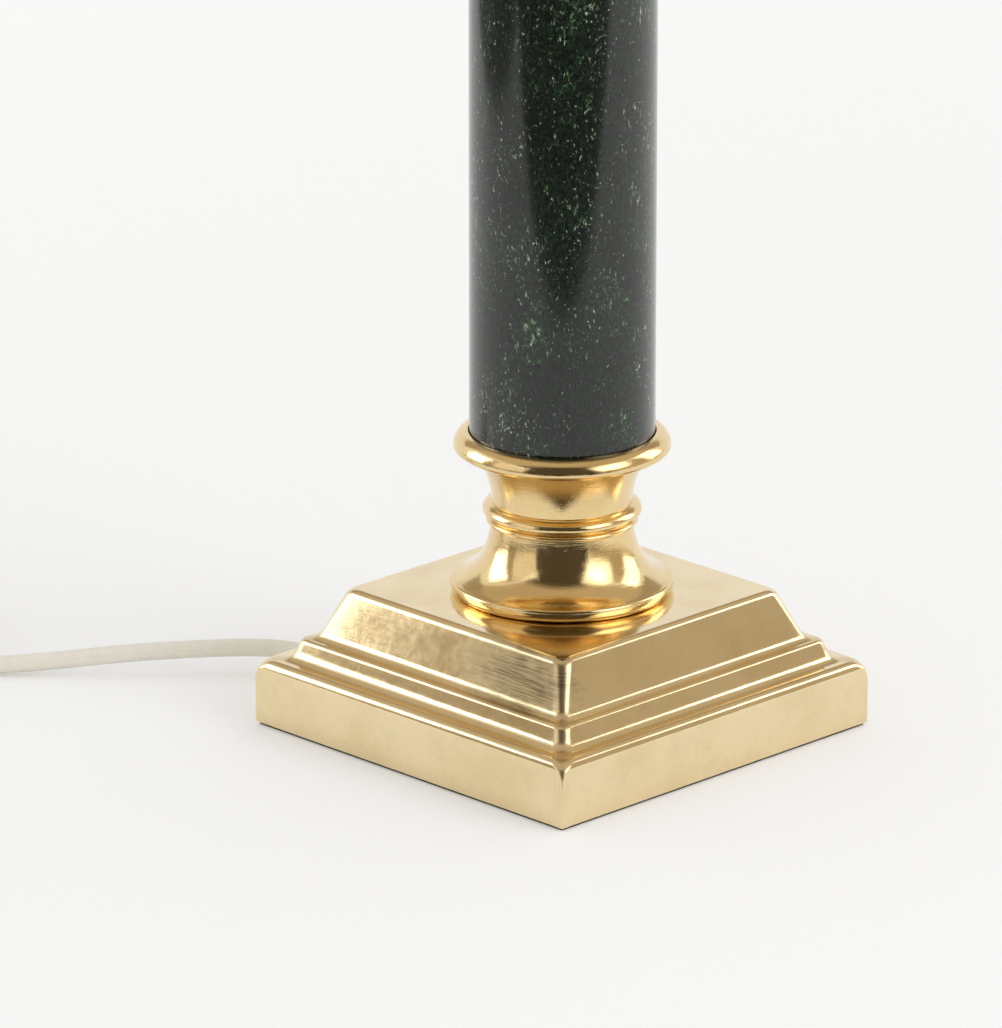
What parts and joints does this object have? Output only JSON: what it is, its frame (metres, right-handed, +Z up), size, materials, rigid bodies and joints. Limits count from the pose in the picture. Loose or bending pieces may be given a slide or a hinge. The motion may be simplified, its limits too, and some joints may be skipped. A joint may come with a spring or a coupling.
{
  "type": "column table lamp",
  "caption": "Table lamp with a stepped square brass plinth, a turned foot and cup, a lacquered column, a brass capital and a screw lampholder with its bulb.",
  "frame": {"origin": "middle of the plinth's underside, on the surface that the lamp stands on", "axes": "+Z up the column; the front is -Y; the cord leaves the plinth's back face, towards +Y"},
  "size_m": [0.2417, 0.373, 0.55],
  "materials": {
    "brass": "satin polished, lightly tarnished",
    "lacquer": "gloss lacquer, near black with green and pale flecks",
    "felt": "felt",
    "steel": "zinc plated",
    "iron": "as cast",
    "seat_rubber": "matt",
    "plug_wood": "turned",
    "porcelain": "glazed",
    "bakelite": "moulded",
    "contact_brass": "plain",
    "solder": "dull",
    "black_glass": "opaque",
    "bulb_aluminium": "rolled",
    "bulb_glass": "clear",
    "tungsten": "drawn",
    "bushing": "moulded",
    "cord": "matt sheath",
    "core": "plain",
    "tie": "plain",
    "plug": "moulded",
    "pin_metal": "nickel brass"
  },
  "bodies": {
    "lamp": {"felt_pad": "felt", "base_shell": "brass", "bottom_plate": "steel", "plate_screws": "steel", "ballast_disc": "iron", "threaded_rod": "steel", "rod_washer": "steel", "rod_nut": "steel", "foot_bell": "brass", "foot_bead": "brass", "column_cup": "brass", "lower_seat": "seat_rubber", "column_tube": "lacquer", "upper_seat": "seat_rubber", "lower_plug": "plug_wood", "upper_plug": "plug_wood", "column_capital": "brass", "capital_bead": "brass", "dome_cap": "brass", "neck_spacer": "brass", "holder_cap": "brass", "switch_block": "porcelain", "holder_insert": "porcelain", "screw_contact": "contact_brass", "centre_contact": "contact_brass", "terminal_screws": "contact_brass", "holder_shell": "brass", "cord_bushing": "bushing", "cord_clamp": "bushing", "clamp_screws": "steel", "inner_lead": "cord", "core_wires": "core", "cord_run": "cord", "cord_coil": "cord", "cord_tail": "cord", "coil_tie": "tie", "plug_body": "plug", "plug_pins": "pin_metal"},
    "switch": {"switch_bar": "bakelite"},
    "ring": {"shade_ring": "bakelite"},
    "bulb": {"bulb_tip": "solder", "bulb_button": "black_glass", "bulb_cap": "bulb_aluminium", "bulb_glass": "bulb_glass", "bulb_stem": "bulb_glass", "bulb_filament": "tungsten"}
  },
  "joints": [
    {"name": "switch_push", "type": "slide", "parent": "lamp", "child": "switch", "axis": [1, 0, 0], "range_m": [0, 0.006]},
    {"name": "ring_unscrew", "type": "slide", "parent": "lamp", "child": "ring", "axis": [0, 0, 1], "range_m": [0, 0.02]},
    {"name": "bulb_unscrew", "type": "slide", "parent": "lamp", "child": "bulb", "axis": [0, 0, 1], "range_m": [0, 0.028]}
  ]
}
